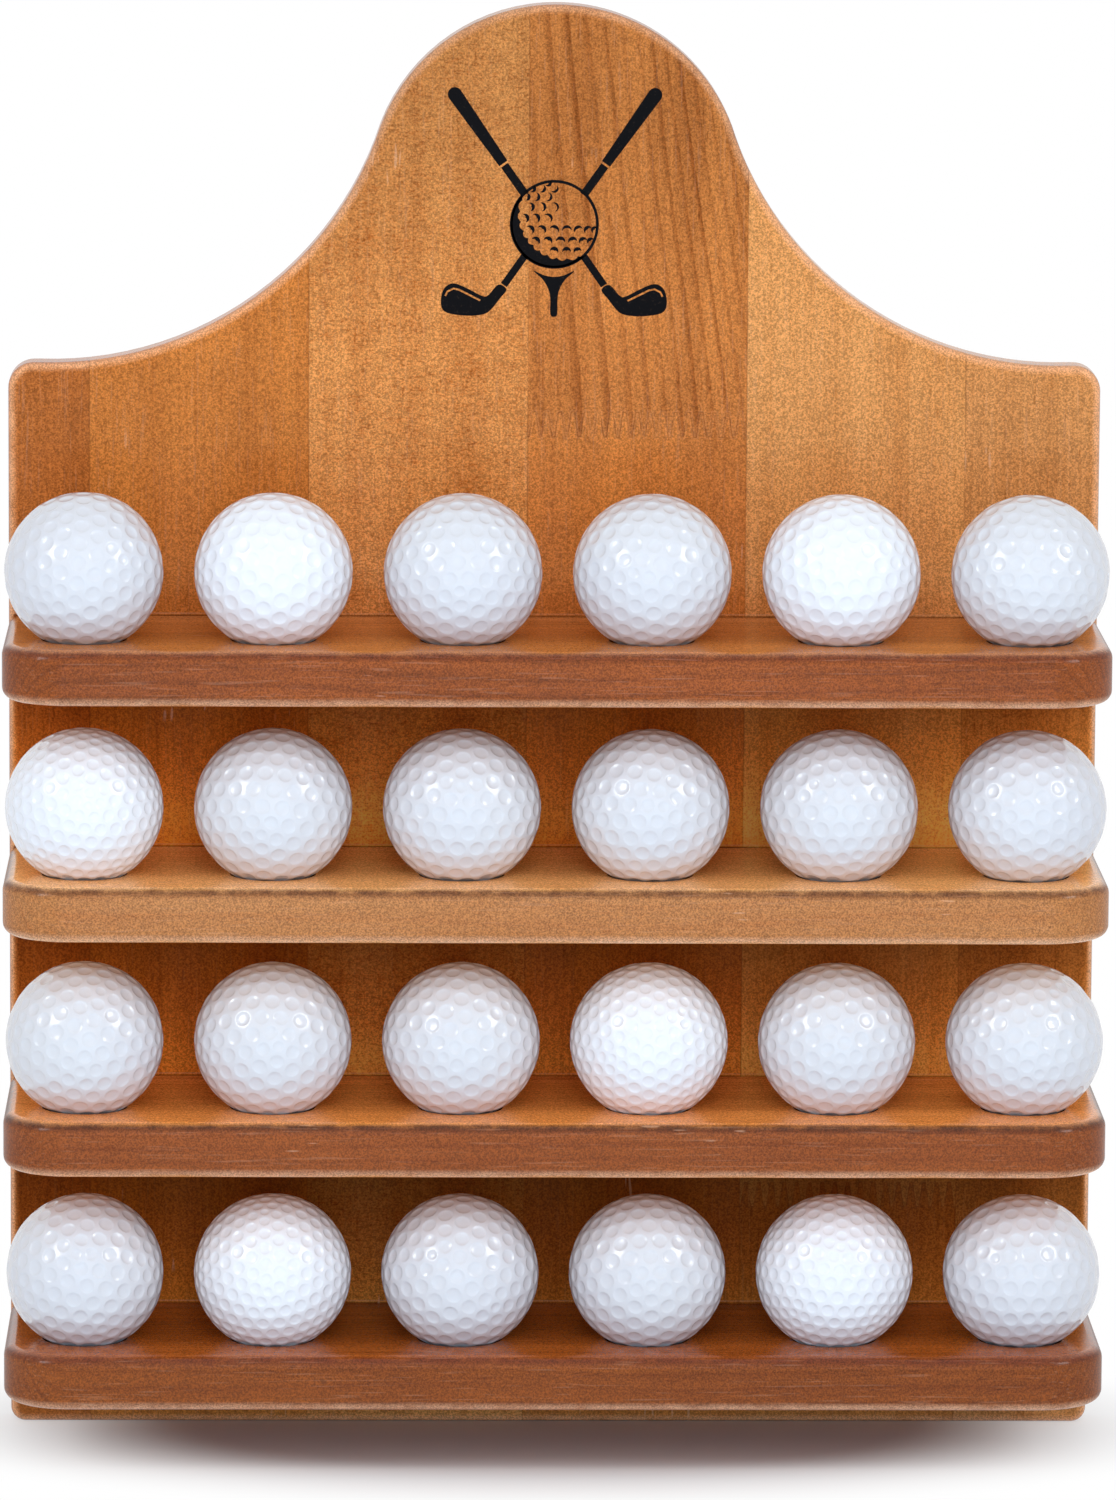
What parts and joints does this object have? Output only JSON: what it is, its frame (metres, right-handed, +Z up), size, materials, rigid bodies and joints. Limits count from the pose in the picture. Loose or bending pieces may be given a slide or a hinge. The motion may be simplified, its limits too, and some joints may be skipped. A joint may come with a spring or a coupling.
{
  "type": "golf ball display rack",
  "caption": "Wall-hung wooden display rack for golf balls: a bell-topped back board with shelves whose drilled seats hold a ball each.",
  "frame": {"origin": "on the wall plane, at the back face of the board, midway between the two hanging points", "axes": "+Z up, +Y from the rack into the wall, so that the balls face -Y, and +X to the right as seen from the front"},
  "size_m": [0.2974, 0.0809, 0.392],
  "materials": {
    "board_wood": "satin lacquer over stained pine",
    "shelf_wood": "satin lacquer over stained pine",
    "ball_cover": "glossy, dimpled",
    "screw_steel": "yellow zinc plated",
    "plate_steel": "bright zinc plated"
  },
  "bodies": {
    "root": {"stave_1": "board_wood", "stave_2": "board_wood", "stave_3": "board_wood", "stave_4_upper": "board_wood", "stave_4_lower": "board_wood", "stave_5_upper": "board_wood", "stave_5_lower": "board_wood", "stave_6": "board_wood", "shelf_1": "shelf_wood", "shelf_2": "shelf_wood", "shelf_3": "shelf_wood", "shelf_4": "shelf_wood", "shelf_screws_1": "screw_steel", "shelf_screws_2": "screw_steel", "shelf_screws_3": "screw_steel", "shelf_screws_4": "screw_steel", "keyhole_plate_left": "plate_steel", "keyhole_plate_right": "plate_steel", "plate_screws_left": "screw_steel", "plate_screws_right": "screw_steel"},
    "ball_1_1": {"ball_1_1": "ball_cover"},
    "ball_1_2": {"ball_1_2": "ball_cover"},
    "ball_1_3": {"ball_1_3": "ball_cover"},
    "ball_1_4": {"ball_1_4": "ball_cover"},
    "ball_1_5": {"ball_1_5": "ball_cover"},
    "ball_1_6": {"ball_1_6": "ball_cover"},
    "ball_2_1": {"ball_2_1": "ball_cover"},
    "ball_2_2": {"ball_2_2": "ball_cover"},
    "ball_2_3": {"ball_2_3": "ball_cover"},
    "ball_2_4": {"ball_2_4": "ball_cover"},
    "ball_2_5": {"ball_2_5": "ball_cover"},
    "ball_2_6": {"ball_2_6": "ball_cover"},
    "ball_3_1": {"ball_3_1": "ball_cover"},
    "ball_3_2": {"ball_3_2": "ball_cover"},
    "ball_3_3": {"ball_3_3": "ball_cover"},
    "ball_3_4": {"ball_3_4": "ball_cover"},
    "ball_3_5": {"ball_3_5": "ball_cover"},
    "ball_3_6": {"ball_3_6": "ball_cover"},
    "ball_4_1": {"ball_4_1": "ball_cover"},
    "ball_4_2": {"ball_4_2": "ball_cover"},
    "ball_4_3": {"ball_4_3": "ball_cover"},
    "ball_4_4": {"ball_4_4": "ball_cover"},
    "ball_4_5": {"ball_4_5": "ball_cover"},
    "ball_4_6": {"ball_4_6": "ball_cover"}
  },
  "joints": [
    {"name": "lift_1_1", "type": "slide", "parent": "root", "child": "ball_1_1", "axis": [0, 0, 1], "range_m": [0, 0.045]},
    {"name": "lift_1_2", "type": "slide", "parent": "root", "child": "ball_1_2", "axis": [0, 0, 1], "range_m": [0, 0.045]},
    {"name": "lift_1_3", "type": "slide", "parent": "root", "child": "ball_1_3", "axis": [0, 0, 1], "range_m": [0, 0.045]},
    {"name": "lift_1_4", "type": "slide", "parent": "root", "child": "ball_1_4", "axis": [0, 0, 1], "range_m": [0, 0.045]},
    {"name": "lift_1_5", "type": "slide", "parent": "root", "child": "ball_1_5", "axis": [0, 0, 1], "range_m": [0, 0.045]},
    {"name": "lift_1_6", "type": "slide", "parent": "root", "child": "ball_1_6", "axis": [0, 0, 1], "range_m": [0, 0.045]},
    {"name": "lift_2_1", "type": "slide", "parent": "root", "child": "ball_2_1", "axis": [0, 0, 1], "range_m": [0, 0.0089]},
    {"name": "lift_2_2", "type": "slide", "parent": "root", "child": "ball_2_2", "axis": [0, 0, 1], "range_m": [0, 0.0089]},
    {"name": "lift_2_3", "type": "slide", "parent": "root", "child": "ball_2_3", "axis": [0, 0, 1], "range_m": [0, 0.0089]},
    {"name": "lift_2_4", "type": "slide", "parent": "root", "child": "ball_2_4", "axis": [0, 0, 1], "range_m": [0, 0.0089]},
    {"name": "lift_2_5", "type": "slide", "parent": "root", "child": "ball_2_5", "axis": [0, 0, 1], "range_m": [0, 0.0089]},
    {"name": "lift_2_6", "type": "slide", "parent": "root", "child": "ball_2_6", "axis": [0, 0, 1], "range_m": [0, 0.0089]},
    {"name": "lift_3_1", "type": "slide", "parent": "root", "child": "ball_3_1", "axis": [0, 0, 1], "range_m": [0, 0.0089]},
    {"name": "lift_3_2", "type": "slide", "parent": "root", "child": "ball_3_2", "axis": [0, 0, 1], "range_m": [0, 0.0089]},
    {"name": "lift_3_3", "type": "slide", "parent": "root", "child": "ball_3_3", "axis": [0, 0, 1], "range_m": [0, 0.0089]},
    {"name": "lift_3_4", "type": "slide", "parent": "root", "child": "ball_3_4", "axis": [0, 0, 1], "range_m": [0, 0.0089]},
    {"name": "lift_3_5", "type": "slide", "parent": "root", "child": "ball_3_5", "axis": [0, 0, 1], "range_m": [0, 0.0089]},
    {"name": "lift_3_6", "type": "slide", "parent": "root", "child": "ball_3_6", "axis": [0, 0, 1], "range_m": [0, 0.0089]},
    {"name": "lift_4_1", "type": "slide", "parent": "root", "child": "ball_4_1", "axis": [0, 0, 1], "range_m": [0, 0.0089]},
    {"name": "lift_4_2", "type": "slide", "parent": "root", "child": "ball_4_2", "axis": [0, 0, 1], "range_m": [0, 0.0089]},
    {"name": "lift_4_3", "type": "slide", "parent": "root", "child": "ball_4_3", "axis": [0, 0, 1], "range_m": [0, 0.0089]},
    {"name": "lift_4_4", "type": "slide", "parent": "root", "child": "ball_4_4", "axis": [0, 0, 1], "range_m": [0, 0.0089]},
    {"name": "lift_4_5", "type": "slide", "parent": "root", "child": "ball_4_5", "axis": [0, 0, 1], "range_m": [0, 0.0089]},
    {"name": "lift_4_6", "type": "slide", "parent": "root", "child": "ball_4_6", "axis": [0, 0, 1], "range_m": [0, 0.0089]}
  ]
}
